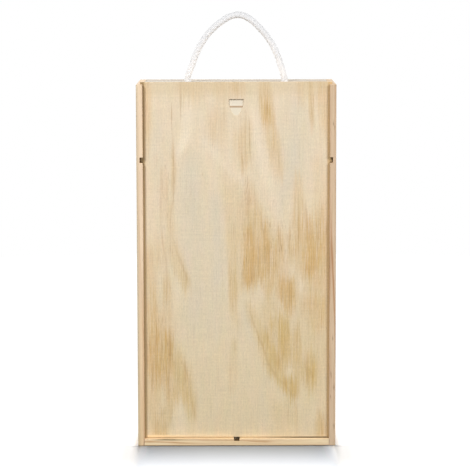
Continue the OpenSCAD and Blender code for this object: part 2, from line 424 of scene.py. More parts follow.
WARM = [
    # the honey streak on the right of the notch
    [(372, 28, 7, 0.4), (358, 29, 8, 0.48), (345, 30, 8, 0.62), (332, 32, 8, 0.72), (320, 35, 8, 0.46),
     (306, 37, 8, 0.26), (292, 39, 8, 0.18), (278, 41, 7, 0.1), (266, 43, 6, 0)],
    # the brown marks under the notch
    [(340, 9, 6, 0), (330, 10, 7, 0.22), (312, 10, 7.5, 0.28), (300, 9, 7, 0.27), (290, 8, 6, 0.37),
     (280, 7, 4.5, 0.33), (270, 7, 3, 0)],
    [(330, 0, 5, 0), (316, 1, 6, 0.2), (300, 2, 6, 0.2), (284, 2, 5, 0)],
    # peach tones left of the notch and along the top edge
    [(352, -16, 8, 0), (342, -18, 11, 0.16), (328, -19, 13, 0.24), (314, -19, 12, 0.2), (300, -17, 9, 0)],
    [(372, -44, 18, 0.34), (360, -44, 17, 0.32), (350, -45, 12, 0.14), (340, -46, 9, 0)],
    [(372, -14, 16, 0.3), (362, -14, 16, 0.3), (352, -12, 12, 0.15), (344, -10, 8, 0)],
    [(372, 2, 10, 0.35), (360, 3, 9, 0.35), (353, 3, 7, 0.12), (349, 3, 5, 0)],
    [(372, 66, 8, 0.28), (360, 66, 8, 0.28), (348, 66, 6, 0.2), (338, 66, 4, 0)],
    [(372, 75, 4, 0.45), (358, 75, 4, 0.45), (345, 75.5, 4, 0.4), (332, 76, 3.5, 0.32), (322, 77, 3, 0.2),
     (312, 77, 2, 0)],
    [(372, 87, 9, 0.45), (355, 87, 9, 0.42), (342, 88, 8, 0.35), (328, 89, 6, 0.3), (314, 90, 5, 0.15),
     (300, 90, 4, 0)],
    [(372, -91, 6, 0.5), (350, -91, 6.5, 0.45), (330, -91, 7, 0.4), (312, -91, 6.5, 0.3),
     (296, -91, 5, 0.12), (286, -91, 4, 0)],
    # the broad brown field right of the middle and its foot
    [(272, 13, 5, 0), (262, 13, 8, 0.24), (250, 14, 11, 0.33), (238, 16, 14, 0.43), (226, 18, 17, 0.51),
     (212, 19, 19, 0.54), (198, 20, 19, 0.61), (186, 19, 18, 0.67), (174, 17, 15, 0.67),
     (164, 15, 12, 0.51), (156, 13, 9, 0.19), (150, 13, 7, 0)],
    [(225, 12, 5, 0), (215, 12, 7, 0.25), (205, 12, 7, 0.32), (192, 13, 8, 0.4), (180, 13, 8, 0.4),
     (168, 12, 7, 0.35), (160, 12, 6, 0)],
    [(232, 36, 6, 0), (222, 36, 10, 0.23), (208, 37, 12, 0.25), (192, 35, 11, 0.26), (178, 33, 9, 0.4),
     (164, 32, 7, 0.5), (154, 32, 5, 0.35), (146, 32, 3, 0)],
    [(225, 47, 6, 0), (214, 48, 9, 0.25), (200, 48, 11, 0.38), (188, 47, 11, 0.42), (176, 46, 10, 0.35),
     (168, 45, 8, 0)],
    # the pointed field below it
    [(176, 47, 9, 0), (171, 49, 13, 0.45), (163, 50, 13, 0.75), (154, 51, 11.5, 0.82), (146, 52, 9, 0.85),
     (138, 53, 6.5, 0.7), (132, 54, 4.5, 0.35), (127, 54, 3, 0)],
    # the brown field at the right edge
    [(282, 62, 4, 0), (270, 62, 5, 0.28), (254, 62, 6, 0.34), (242, 63, 8, 0.4), (230, 65, 11, 0.52),
     (218, 66, 13, 0.56), (204, 67, 14, 0.55), (190, 69, 13, 0.55), (178, 70, 12, 0.55),
     (170, 71, 10, 0.35), (164, 71, 7, 0)],
    [(248, 84, 7, 0), (236, 84, 10, 0.44), (222, 84, 13, 0.6), (208, 84, 15, 0.64), (194, 83, 15, 0.66),
     (182, 84, 14, 0.62), (173, 84, 12, 0.46), (166, 84, 11, 0.3), (156, 85, 9, 0)],
    [(172, 80, 14, 0), (162, 80, 17, 0.3), (150, 80, 18, 0.38), (138, 82, 16, 0.36), (124, 84, 14, 0.24),
     (112, 86, 10, 0)],
    [(300, 83, 6, 0), (285, 83, 8, 0.12), (262, 84, 9, 0.16), (245, 86, 8, 0.18), (235, 87, 6, 0)],
    [(40, 85, 5, 0), (30, 85, 6, 0.34), (20, 85, 7, 0.52), (8, 85, 7, 0.55), (0, 85, 7, 0.55)],
    # the lines at the upper left
    [(312, -63, 2, 0), (300, -63, 3, 0.25), (285, -63, 3.4, 0.3), (268, -63, 3.2, 0.28),
     (254, -64, 3, 0.18), (244, -65, 2, 0)],
    [(286, -72, 4, 0), (274, -72, 5, 0.2), (258, -72, 5.5, 0.22), (240, -72, 5, 0.13), (226, -73, 5, 0)],
    [(222, -76, 7, 0), (208, -76, 9, 0.2), (192, -76, 9, 0.2), (178, -74, 8, 0.12), (168, -72, 6, 0)],
    [(178, -70, 4, 0), (166, -70, 5, 0.35), (152, -70, 5.5, 0.35), (140, -70, 6, 0.3), (130, -70, 7, 0.3),
     (120, -70, 6, 0)],
    [(210, -89, 5, 0), (194, -88, 7, 0.25), (176, -88, 8, 0.32), (156, -87, 9, 0.36), (140, -87, 9, 0.36),
     (128, -86, 9, 0)],
    # the brown lower left
    [(146, -84, 8, 0), (132, -84, 10, 0.42), (116, -84, 11, 0.55), (100, -84, 11, 0.62), (84, -84, 11, 0.6),
     (70, -84, 10, 0.5), (56, -85, 9, 0.36), (40, -85, 8, 0.28), (26, -82, 9, 0.32), (12, -79, 9, 0.4),
     (0, -79, 9, 0.4)],
    [(128, -69, 5, 0), (116, -69, 6, 0.38), (104, -69, 6.5, 0.62), (90, -69, 6.5, 0.66),
     (76, -69.5, 6, 0.52), (62, -70, 5, 0.42), (50, -70, 4, 0.25), (40, -70, 3, 0)],
    [(126, -76, 10, 0), (112, -76, 12, 0.25), (92, -76, 12, 0.28), (72, -76, 11, 0.25), (54, -75, 9, 0.12),
     (44, -74, 8, 0)],
]

OLIVE = [
    # the foot of the honey streak
    [(318, 36, 6, 0), (308, 38, 8, 0.25), (294, 40, 8, 0.28), (280, 42, 7, 0.15), (268, 43, 5, 0)],
    # the shade above the middle streak, and the streak
    [(284, -9, 7, 0), (270, -7, 10, 0.18), (254, -5, 12, 0.25), (238, -4, 11, 0.23), (224, -4, 9, 0.3),
     (212, -4, 8, 0.34), (200, -4, 7, 0.3), (186, -4, 6, 0.39), (170, -3.5, 6, 0.57), (156, -3, 5.5, 0.52),
     (144, -3, 5, 0.41), (134, -2, 4.5, 0.23), (120, -1, 4, 0.09), (108, -1, 3, 0)],
    [(112, -2, 4, 0), (102, -3, 5, 0.22), (90, -3.5, 5.5, 0.18), (76, -4, 6, 0.2), (60, -4, 5, 0.18),
     (48, -4, 4, 0)],
    # the curve that leaves the lines at the upper left
    [(256, -66, 2.5, 0), (244, -66, 4, 0.2), (230, -66.5, 4.5, 0.24), (216, -66, 5, 0.22),
     (204, -64, 6.5, 0.26), (192, -61, 8, 0.3), (180, -57, 8, 0.36), (170, -53, 7, 0.42),
     (162, -51, 5.5, 0.3), (154, -50, 4, 0)],
    # the arch low on the left
    [(108, -62, 4, 0), (96, -61, 8, 0.36), (84, -59, 11, 0.5), (72, -57, 13, 0.58), (60, -55.5, 13.5, 0.58),
     (52, -54.5, 14.5, 0.54), (44, -51, 12, 0.35), (38, -50, 8, 0)],
    [(62, -49, 4, 0), (52, -48, 7, 0.25), (42, -47, 8, 0.4), (34, -46, 7.5, 0.42), (26, -45, 6, 0.22),
     (19, -44, 4, 0)],
    [(58, -65, 5, 0), (48, -66, 7, 0.35), (38, -69, 7, 0.38), (26, -73, 7.5, 0.36), (14, -76, 8, 0.3),
     (0, -78, 8, 0.25)],
    # the bent field low on the right
    [(150, 10, 5, 0), (140, 13, 7, 0.28), (130, 17, 8, 0.36), (118, 22, 8.5, 0.4), (106, 27, 9, 0.46),
     (94, 32, 10, 0.5), (84, 36, 11, 0.58), (76, 39, 12, 0.62), (69, 43, 12, 0.55), (62, 49, 10, 0.42),
     (54, 55, 9, 0.42), (47, 57.5, 7, 0.32), (41, 58, 4, 0)],
    [(152, 32, 8, 0), (140, 34, 12, 0.3), (126, 38, 16, 0.4), (110, 42, 18, 0.46), (96, 45, 18, 0.46),
     (84, 47, 16, 0.38), (74, 50, 12, 0)],
    [(134, 37, 4, 0), (124, 37.5, 5, 0.25), (112, 38, 4, 0)],
    [(140, 48, 5, 0), (128, 48.5, 7, 0.4), (112, 48.5, 7.5, 0.46), (96, 49, 7, 0.42), (86, 49, 5, 0.2),
     (79, 49, 3, 0)],
    [(130, 60.5, 4, 0), (116, 60.5, 5, 0.3), (102, 61, 5.5, 0.34), (88, 62, 6, 0.4), (76, 62.5, 6.5, 0.46),
     (66, 61.5, 7, 0.45), (56, 60, 6, 0.32), (47, 59.5, 4, 0)],
    [(74, 50, 10, 0), (66, 51, 13, 0.36), (58, 54, 11, 0.4), (50, 57, 8, 0.32), (43, 58, 5, 0)],
    [(102, 74, 5, 0), (92, 75, 7, 0.34), (82, 75, 8.5, 0.48), (72, 75.5, 9, 0.56), (64, 75, 8, 0.48),
     (56, 74, 6, 0.22), (50, 74, 4, 0)],
    [(50, 48, 14, 0), (38, 48, 16, 0.22), (24, 48, 16, 0.2), (10, 47, 16, 0.16), (0, 47, 16, 0.16)],
    [(46, 60.5, 1.5, 0), (36, 60.5, 2.2, 0.25), (22, 60.5, 2.2, 0.25), (10, 60.5, 2, 0.15)],
    [(164, 74, 14, 0), (146, 77, 20, 0.32), (105, 77, 20, 0.26), (80, 80, 16, 0.24), (55, 80, 14, 0.16),
     (35, 78, 12, 0)],
    [(172, 36, 8, 0), (160, 36, 9, 0.2), (148, 36, 9, 0.2), (138, 36, 7, 0)],
]

DARK = [
    # cracks near the top left corner
    [(350, -64.4, 0.6, 0), (341, -64.5, 0.7, 0.8), (328, -65, 0.7, 0.7), (316, -65, 0.6, 0)],
    [(364, -55, 0.8, 0.6), (350, -55.2, 0.8, 0.7), (334, -55.8, 0.8, 0.5), (324, -56, 0.6, 0)],
    # fine lines under the notch
    [(336, 13, 0.8, 0), (326, 13, 0.9, 0.5), (308, 13.5, 1, 0.7), (296, 14, 1, 0.6), (284, 15, 0.8, 0.3),
     (276, 15, 0.8, 0)],
    [(345, 9, 0.7, 0), (338, 9.5, 0.8, 0.4), (320, 9, 0.8, 0.45), (300, 9, 0.8, 0.35), (275, 9, 0.8, 0)],
    [(330, 5, 0.7, 0), (318, 5, 0.8, 0.35), (300, 5, 0.8, 0.35), (288, 6, 1.4, 0.55), (278, 6.5, 1, 0.3),
     (272, 6, 0.8, 0)],
    [(272, 11, 0.6, 0), (267, 11.2, 0.8, 0.9), (259, 10, 0.8, 0.9), (255, 10, 0.6, 0)],
    # lines in the brown fields
    [(262, 12, 0.7, 0), (255, 12, 0.9, 0.5), (235, 12, 1.1, 0.6), (215, 12, 1.1, 0.55), (200, 12, 0.9, 0.3),
     (192, 12, 0.8, 0)],
    [(214, 21.5, 0.7, 0), (205, 22, 0.9, 0.5), (190, 22, 0.9, 0.55), (176, 22, 0.8, 0.4),
     (166, 22, 0.7, 0)],
    [(240, 17.5, 0.7, 0), (230, 17.5, 0.8, 0.4), (214, 17, 0.8, 0.4), (198, 17, 0.8, 0.3),
     (188, 17, 0.7, 0)],
    [(226, 28, 0.7, 0), (216, 28, 0.8, 0.4), (200, 28, 0.8, 0.45), (184, 28.5, 0.8, 0.35),
     (172, 29, 0.7, 0)],
    [(212, 33.5, 0.7, 0), (200, 33.5, 0.9, 0.45), (182, 33, 0.9, 0.45), (164, 32.5, 0.9, 0.4),
     (154, 32, 0.7, 0)],
    [(252, 70, 0.7, 0), (242, 70, 0.9, 0.55), (228, 70.5, 0.9, 0.6), (216, 70.5, 0.7, 0)],
    [(238, 83, 0.7, 0), (230, 83, 0.9, 0.6), (216, 83, 0.9, 0.6), (204, 82.5, 0.8, 0.35),
     (196, 82, 0.7, 0)],
    [(228, 42, 0.6, 0), (220, 42, 0.8, 0.4), (200, 43, 0.8, 0.4), (185, 43, 0.6, 0)],
    [(218, 53, 0.6, 0), (210, 53, 0.8, 0.4), (195, 53.5, 0.8, 0.4), (180, 54, 0.6, 0)],
    [(262, 62, 0.7, 0), (250, 62, 0.9, 0.4), (236, 62, 0.9, 0.4), (222, 62, 0.8, 0.3), (210, 62, 0.7, 0)],
    # the bent field's left edge and the lines inside it
    [(142, 12, 1, 0), (134, 14.5, 1.4, 0.35), (122, 18, 1.6, 0.42), (112, 21.5, 1.6, 0.45),
     (103, 25, 1.7, 0.45), (94, 28.5, 1.8, 0.5), (85, 31.5, 2.2, 0.5), (77, 35, 2.6, 0.45),
     (70, 40, 2.6, 0.25), (64, 46, 2.4, 0.2), (58, 52, 2.4, 0.25), (51, 56, 2.4, 0.25), (45, 59, 1.6, 0)],
    [(130, 49, 0.9, 0), (118, 49, 1.2, 0.32), (100, 49, 1.2, 0.36), (88, 49, 1, 0)],
    [(122, 60.5, 0.8, 0), (110, 60.8, 1, 0.35), (94, 61.5, 1, 0.35), (80, 63, 1.1, 0.3), (70, 62.5, 1, 0)],
    [(98, 71.5, 0.9, 0), (92, 71.5, 1.1, 0.45), (82, 71.5, 1.3, 0.6), (70, 72, 1.5, 0.7),
     (62, 72, 1.2, 0.45), (56, 72.5, 0.9, 0)],
    # the lines at the upper left
    [(290, -75, 0.8, 0), (278, -75, 1, 0.35), (262, -75, 1, 0.3), (240, -76, 1, 0.35), (220, -76, 1, 0.3),
     (205, -74, 1.2, 0.35), (195, -72, 1.2, 0.35), (185, -70.5, 1.2, 0.4), (165, -70, 1.2, 0.4),
     (150, -71, 1, 0.2), (140, -71, 0.8, 0)],
    [(345, -64.5, 0.8, 0), (335, -64.5, 1, 0.3), (318, -64, 0.9, 0.25), (300, -63.4, 1.2, 0.5),
     (285, -63, 1.4, 0.65), (265, -63, 1.4, 0.6), (250, -64, 1.1, 0.4), (238, -66, 1.2, 0.45),
     (228, -67, 1.2, 0.35), (216, -67, 1, 0)],
    [(216, -66, 1.2, 0), (208, -63, 1.5, 0.22), (198, -60, 1.6, 0.28), (190, -57, 1.8, 0.32),
     (182, -54, 1.8, 0.4), (175, -51.5, 2, 0.55), (168, -49.8, 1.8, 0.55), (162, -49.8, 1.4, 0.3),
     (156, -50, 1.2, 0)],
    [(300, -79, 0.7, 0), (285, -79, 0.8, 0.2), (262, -79, 0.8, 0.22), (240, -79, 0.7, 0)],
    # the lines at the lower left
    [(128, -76, 0.8, 0), (112, -76, 1, 0.4), (98, -76, 1, 0.4), (82, -76.5, 0.9, 0.3), (70, -76.5, 0.8, 0)],
    [(112, -68, 1, 0), (103, -68, 1.3, 0.6), (88, -68.3, 1.3, 0.65), (68, -69, 1.1, 0.5),
     (52, -69.5, 1, 0.25), (44, -70, 0.8, 0)],
    [(132, -62, 1, 0), (118, -62, 1.2, 0.25), (100, -62, 1.2, 0.3), (85, -62, 1.2, 0.35),
     (72, -62, 1, 0.25), (64, -62, 0.9, 0)],
    [(110, -82, 0.8, 0), (98, -82, 1, 0.35), (82, -82, 1, 0.4), (66, -82, 0.8, 0)],
    # the arch's right leg
    [(92, -58, 1.2, 0), (84, -54.5, 1.5, 0.22), (75, -51, 1.6, 0.32), (66, -48.5, 1.8, 0.2),
     (56, -47, 1.8, 0.2), (46, -45.5, 1.8, 0.2), (36, -44, 2, 0.28), (27, -42.5, 1.8, 0.18),
     (20, -42, 1.5, 0)],
    # the middle streak's dark edge and spots
    [(192, -7.5, 0.8, 0), (182, -7.5, 1, 0.25), (166, -7, 1, 0.25), (150, -6.5, 0.9, 0.2),
     (140, -6, 0.8, 0)],
    [(235, -1.5, 0.8, 0), (226, -2, 1, 0.4), (216, -2.5, 1.1, 0.5), (206, -3, 0.9, 0)],
    [(112, -1, 0.8, 0), (106, -1.5, 1.1, 0.4), (98, -2, 1.2, 0.35), (92, -3, 1, 0)],
    # short lines at the top edge
    [(372, -56, 0.8, 0.35), (360, -56, 0.9, 0.35), (345, -56, 0.8, 0.3), (330, -55.5, 0.8, 0)],
    [(372, 74, 1.2, 0.5), (362, 74, 1.3, 0.5), (350, 75, 1.3, 0.4), (336, 76.5, 1.1, 0.45),
     (324, 77, 1, 0.3), (314, 77, 1, 0)],
    [(372, 62, 0.8, 0.3), (360, 62, 0.8, 0.3), (345, 62, 0.8, 0.2), (335, 62, 0.7, 0)],
    [(372, 1, 0.9, 0.35), (362, 1, 1, 0.4), (354, 1, 0.9, 0)],
    [(330, 83, 1, 0), (320, 84, 1.2, 0.22), (300, 85, 1.2, 0.22), (280, 86, 1.2, 0.2), (260, 86, 1, 0)],
    # the small knot on the left
    [(277.5, -34, 0.8, 0), (276.3, -34, 1.2, 0.7), (275.1, -34, 0.8, 0)],
]

DASHED = [
    [(268, 34, 8, 0), (250, 38, 14, 0.5), (228, 38, 22, 0.9), (205, 40, 24, 0.95), (188, 42, 20, 0.8),
     (174, 46, 14, 0.3), (164, 48, 8, 0)],
    [(310, -68, 8, 0), (290, -67, 10, 0.5), (240, -70, 11, 0.5), (190, -68, 12, 0.3), (130, -72, 14, 0.5),
     (80, -72, 15, 0.7), (40, -72, 14, 0.4), (10, -74, 12, 0.3)],
    [(335, 16, 10, 0), (315, 16, 13, 0.5), (280, 14, 11, 0.55), (240, 12, 10, 0.5), (180, 12, 12, 0.5),
     (150, 40, 14, 0.4), (80, 50, 20, 0.4), (50, 55, 12, 0)],
]

PALE = [
    [(358, -50, 4, 0), (348, -49, 7, 0.5), (338, -49, 8, 0.5), (326, -50, 8, 0.5), (314, -51, 8, 0.85),
     (305, -54, 6.5, 1), (298, -57, 5, 0.7), (291, -59, 2.5, 0)],
    [(350, 14, 4, 0), (335, 18, 5, 0.5), (315, 20, 6, 0.55), (295, 25, 7, 0.5), (275, 30, 7, 0.42),
     (258, 36, 7, 0.35), (244, 40, 7, 0.3), (232, 43, 5, 0)],
    [(330, -52, 3, 0), (312, -33, 4, 0.25), (303, -27, 5, 0.4), (294, -20, 6, 0.4), (284, -11, 7, 0.36),
     (274, -1, 7, 0.36), (266, 5, 5, 0.3), (260, 7, 4, 0)],
    [(186, 65.5, 1.5, 0), (178, 65.5, 2.2, 0.45), (166, 65, 2.4, 0.5), (154, 64, 1.5, 0)],
    [(212, 49, 1.5, 0), (204, 50, 2, 0.35), (192, 50.5, 2, 0.35), (182, 51, 1.5, 0)],
    [(46, -58, 1.5, 0), (42, -58, 3, 0.35), (34, -58, 6, 0.4), (24, -58, 9, 0.35), (12, -58, 11, 0.3),
     (0, -58, 12, 0.3)],
    [(84, 50, 3, 0), (76, 51, 5, 0.25), (70, 51, 5, 0.25), (66, 51, 3, 0)],
    [(200, -58.5, 2.5, 0), (170, -60, 3, 0.3), (150, -59, 4, 0.3), (136, -59, 3, 0)],
    [(160, 70, 7, 0), (156, 70, 8, 0.3), (150, 70, 7, 0.2), (142, 70, 6, 0)],
]

COOL = [
    [(315, -44, 12, 0), (292, -45, 15, 0.5), (275, -46, 15, 0.65), (260, -46, 16, 0.8), (238, -45, 17, 0.7),
     (215, -44, 17, 0.6), (190, -40, 15, 0.45), (160, -40, 14, 0.5), (125, -44, 14, 0.6),
     (100, -46, 12, 0)],
    [(262, -22, 6, 0), (250, -22, 8, 0.7), (232, -21, 9, 0.7), (205, -19, 10, 0.7), (180, -18, 10, 0.7),
     (150, -20, 12, 0.55), (118, -24, 14, 0.35), (90, -26, 14, 0)],
    [(360, 58, 12, 0), (342, 60, 16, 0.45), (315, 60, 18, 0.6), (292, 60, 17, 0.75), (270, 52, 14, 0.55),
     (250, 46, 10, 0.5), (232, 46, 7, 0)],
    [(345, -78, 9, 0), (330, -78, 11, 0.4), (305, -80, 11, 0.4), (280, -82, 9, 0.2), (262, -84, 8, 0)],
    [(148, 7, 4, 0), (136, 8, 6, 0.5), (122, 12, 7, 0.5), (106, 17, 6, 0.3), (96, 20, 5, 0)],
    [(60, 24, 5, 0), (45, 27, 7, 0.3), (25, 28, 8, 0.3), (10, 28, 7, 0)],
]

# A place and the same place "_crossed" are the plies whose grain runs up and across the lid.
LID_COLOURS = {
    "low": srgb(222, 204, 170), "high": srgb(226, 208, 180),
    "cool": srgb(211, 201, 179), "olive": srgb(206, 176, 118), "warm": srgb(206, 171, 115),
    "pale": srgb(243, 230, 207), "glint": srgb(240, 224, 196),
    "dark": srgb(163, 121, 68), "dash": srgb(138, 98, 56),
    # The dark line at the lid's foot is painted shade, the foot colour is a painted highlight above it, and
    # the three colours by the lips are painted shade.
    "foot_shade": srgb(104, 90, 56), "foot": srgb(250, 222, 176), "top": srgb(212, 190, 152),
    "lip_shade_left": srgb(186, 159, 115), "lip_shade_right": srgb(207, 176, 128), "lip_shade_deep": srgb(112, 84, 52),
    "notch": srgb(220, 209, 187), "notch_crossed": srgb(229, 218, 198),
    "edge": srgb(218, 196, 160), "edge_crossed": srgb(238, 222, 196), "glue": srgb(158, 118, 76),
}
PLIES = 3


def plies(g, depth, thickness, glue_width=0.1):
    """(0 in the outer plies and 1 in those laid across them, and 1 on a glue line)."""
    place = g.math("DIVIDE", depth, thickness / PLIES)
    held = g.least(g.most(place, 0.0), PLIES - 0.01)
    crossed = g.math("MODULO", g.math("FLOOR", held), 2.0)
    inside = g.times(g.span(place, 0.5, 0.6), g.span(place, PLIES - 0.6, PLIES - 0.5, 1, 0))
    line = g.abs(g.minus(g.math("FRACT", g.plus(place, 0.5)), 0.5))
    return crossed, g.times(g.span(line, glue_width, 0.03), inside)


def lid_streaks(g, flat, thin, mottle, fine):
    """The strengths of the warm, olive, dark, pale, cool and dashed streaks at a point."""
    # Fine fibres feather every streak along the grain; slow noise bends it a little.
    bend = g.noise(flat, (18, 18, 60))
    nudge = g.noise(flat, (3, 3, 16))
    feather = g.noise(flat, (1.2, 1.2, 60), detail=3, roughness=0.65)
    across = g.plus(g.plus(g.axes[X], g.swing(bend, 1.2)), g.swing(nudge, 0.9))
    across = g.muladd(across, 1 / FIGURE_WIDE, 0.5)
    ragged = g.math("DIVIDE", g.plus(g.axes[Z], g.swing(feather, 22.0)), FIGURE_LONG)
    close = g.math("DIVIDE", g.plus(g.axes[Z], g.swing(feather, 4.5)), FIGURE_LONG)
    warm = g.times(streaks(g, across, ragged, WARM, 1.35), g.plus(thin, 0.5))
    warm = g.times(warm, g.around(mottle, 0.5))
    olive = g.times(streaks(g, across, ragged, OLIVE, 1.35), g.muladd(thin, 0.7, 0.65))
    olive = g.times(olive, g.around(mottle, 0.4))
    dark = g.times(streaks(g, across, close, DARK), g.around(fine, 0.5))
    pale, cool, dashed = (streaks(g, across, ragged, rows) for rows in (PALE, COOL, DASHED))
    return warm, olive, dark, pale, cool, dashed


def lid_figure(g, flat, fine, hair):
    """The colour of the lid's face, and how light its fibres make it."""
    shifted = g.vector("ADD", flat, (310, 0, 70))
    thin = g.span(g.noise(flat, (0.85, 0.85, 42), detail=3, roughness=0.7), 0.3, 0.7)
    lines = g.span(g.noise(flat, (1.15, 1.15, 46), roughness=0.75), 0.53, 0.7)
    glints = g.span(g.noise(shifted, (1.2, 1.2, 36), roughness=0.75), 0.54, 0.72)
    mottle = g.noise(shifted, (7, 7, 22))
    dashes = g.span(g.noise(shifted, (0.75, 0.75, 12), detail=1), 0.6, 0.72)
    warm, olive, dark, pale, cool, dashed = lid_streaks(g, flat, thin, mottle, fine)
    base = g.mix(g.span(g.axes[Z], 20, 320), LID_COLOURS["low"], LID_COLOURS["high"])
    base = g.shade(base, g.around(g.noise(flat, (30, 30, 90)), 0.03))
    base = g.mix(g.times(cool, 0.8), base, LID_COLOURS["cool"])
    colour = g.mix(g.least(olive, 1.1), base, LID_COLOURS["olive"])
    colour = g.mix(g.least(warm, 1.1), colour, LID_COLOURS["warm"])
    colour = g.mix(g.times(pale, 0.55), colour, LID_COLOURS["pale"])
    figure = g.least(g.plus(warm, olive), 1.0)
    colour = g.mix(g.times(glints, g.muladd(figure, 0.3, 0.1)), colour, LID_COLOURS["glint"])
    dark = g.muladd(lines, g.muladd(figure, 0.5, 0.1), g.times(dark, 0.42))
    colour = g.mix(g.least(dark, 0.9), colour, LID_COLOURS["dark"])
    dashed = g.times(dashes, g.muladd(dashed, 0.5, g.times(figure, 0.14)))
    colour = g.mix(dashed, colour, LID_COLOURS["dash"])
    flecks = g.noise(flat, (1.5, 1.5, 2.6), detail=3, roughness=0.75)
    ripple = g.noise(flat, (22, 22, 1.7))
    tone = g.times(g.around(fine, 0.13), g.around(hair, 0.1))
    tone = g.times(tone, g.times(g.around(flecks, 0.2), g.around(ripple, 0.07)))
    hue = g.noise(shifted, (9, 9, 26), colour=True)
    hue = g.vector("MULTIPLY_ADD", hue, (0.09, 0.05, 0.12), (0.955, 0.975, 0.94))
    return g.vector("MULTIPLY", g.shade(colour, tone), hue), tone


def lid_edge_light_and_shade(g, colour, tone):
    """Painted light and shade at the lid's foot, a darker band along its top edge, and painted shade down
    its sides by the lips.
    """
    x, _, z = g.axes
    # Painted shade where the lid's foot meets the bottom board: a dark line that runs out towards the left.
    foot = g.times(g.span(z, 8.0, 7.6), g.span(x, 12, 80, 0.1, 0.85))
    colour = g.mix(foot, colour, LID_COLOURS["foot_shade"])
    # A painted highlight just above the foot, stronger towards the left.
    foot_highlight = g.times(g.span(z, 10.5, 8.5), g.span(x, -35, -90, 0.25, 0.9))
    colour = g.mix(foot_highlight, colour, LID_COLOURS["foot"])
    colour = g.mix(g.span(z, 350, 362, 0.0, 0.38), colour, g.shade(LID_COLOURS["top"], tone))
    # Painted shade, brown, down each side where the lips overhang the lid, the left one darker.
    colour = g.mix(g.span(x, -90.3, -92.9), colour, g.shade(LID_COLOURS["lip_shade_left"], tone))
    colour = g.mix(g.span(x, 90.3, 92.6), colour, g.shade(LID_COLOURS["lip_shade_right"], tone))
    # More painted shade beside the left lip, higher up.
    deep_lip_shade = g.times(g.span(x, -91.6, -92.9), g.span(z, 200, 330, 0.0, 0.5))
    return g.mix(deep_lip_shade, colour, LID_COLOURS["lip_shade_deep"])


def lid_plywood(name, front, thickness):
    """The lid: its own figure on the front, plies and glue lines wherever it is cut."""
    g = Graph(name)
    flat = g.join(g.axes[X], 0.0, g.axes[Z])
    _, fine, hair = fibres(g, flat, Z)
    colour = lid_edge_light_and_shade(g, *lid_figure(g, flat, fine, hair))
    # Cut surfaces: fresh pale wood in the notch, and the plies' edges all round.
    depth = g.minus(g.axes[Y], front)
    crossed, glue = plies(g, depth, thickness, 0.15)
    face = g.span(g.abs(g.normal[Y]), 0.5, 0.8)
    cut = g.times(g.span(depth, 0.05, 0.25), g.span(depth, thickness - 0.1, thickness - 0.3))
    grain_x = g.noise(g.mm, (20, 0.3, 0.3))

    def cut_wood(place, in_hair, in_grain):
        lengthways = g.shade(LID_COLOURS[place], g.around(hair, in_hair))
        crossways = g.shade(LID_COLOURS[place + "_crossed"], g.around(grain_x, in_grain))
        return g.mix(crossed, lengthways, crossways)

    inner = g.mix(face, cut_wood("edge", 0.16, 0.1), cut_wood("notch", 0.05, 0.07))
    inner = g.mix(g.times(glue, 0.75), inner, LID_COLOURS["glue"])
    colour = g.mix(cut, colour, inner)
    height = g.plus(fine, g.times(hair, 0.6))
    return g.finish(colour, g.muladd(fine, 0.14, 0.5), height, 0.035)


def plain_plywood(name, depth_axis, start, thickness, along, seed):
    """Rotary-cut pine plywood with broad contour figure, plies and glue lines at its edges."""
    g = Graph(name)
    shifted = g.vector("ADD", g.mm, (seed, seed * 0.7, seed * 1.3))
    flat = g.vector("MULTIPLY", shifted, cells(depth_axis, 0.0, 1.0))
    wide, fine, hair = fibres(g, flat, along)
    level = g.noise(flat, cells(along, 150, 42))
    ragged = g.noise(flat, cells(along, 45, 1.4), detail=3, roughness=0.65)
    ring = g.math("FRACT", g.plus(g.times(level, 9.0), g.times(ragged, 0.5)))
    wood = g.ramp(ring, [(0, 0.0), (0.35, 0.05), (0.7, 0.45), (0.9, 0.9), (1.0, 0.0)], "EASE")
    colour = g.mix(g.times(wood, 0.66), srgb(226, 209, 178), srgb(206, 172, 122))
    tone = g.times(g.around(fine, 0.06), g.around(hair, 0.05), g.around(wide, 0.05))
    colour = g.shade(colour, tone)
    crossed, glue = plies(g, g.minus(g.axes[depth_axis], start), thickness)
    side = g.span(g.abs(g.normal[depth_axis]), 0.8, 0.5)
    rough = g.noise(g.mm, (0.5, 0.5, 0.5), detail=3)
    long = g.noise(g.mm, cells(depth_axis, 0.3, 14.0))
    outer = g.shade(srgb(224, 205, 174), g.around(long, 0.1))
    edge = g.mix(crossed, outer, g.shade(srgb(204, 180, 146), g.around(rough, 0.2)))
    edge = g.mix(g.times(glue, 0.6), edge, srgb(152, 118, 84))
    height = g.plus(fine, g.times(hair, 0.6))
    return g.finish(g.mix(side, colour, edge), g.muladd(fine, 0.14, 0.54), height, 0.04)


# ---- the rope, in millimetres ----

ROPE_R = 3.4
ROPE_Y = 3.8
ROPE_HOLE_X = 49.3
BOX_TOP = 366.0
TOP_UNDER = 359.0
KNOT_MIDDLE = 351.0
KNOT_R = ROPE_R * 0.88
STEP = 0.45
# One full turn of the strands, where a strand's middle lies and its radius (both as parts of the
# rope's radius), and the yarns in a strand.
LAY = 13.8
STRAND_OUT, STRAND_R = 0.18, 0.82
YARNS = 9
YARN_SLOPE = 2 * math.pi * STRAND_OUT / (LAY * STRAND_R)
# The ends close over END_ROUND, and SIDES points go round the skin.
END_ROUND = 0.9
SIDES = 60
TURN = np.linspace(0, 2 * math.pi, SIDES, endpoint=False)
THIRD = 2 * math.pi / 3
# The handle's middle line as (x, height over the top board), the same as in the CAD part.
ROPE_ROUTE = [
    (-49.3, 3.7), (-48.3, 8), (-46.7, 12.5), (-43.8, 20), (-40.5, 28.8), (-36.1, 37.6), (-30, 46.9),
    (-23.7, 53.8), (-16.6, 59.8), (-8.7, 65.1), (-0.5, 67.9), (7.4, 67.1), (15.7, 62.6), (24.1, 54.8),
    (32.4, 45), (39.6, 32.8), (44.8, 19.4), (47.8, 9.3), (49.3, 3.7),
]
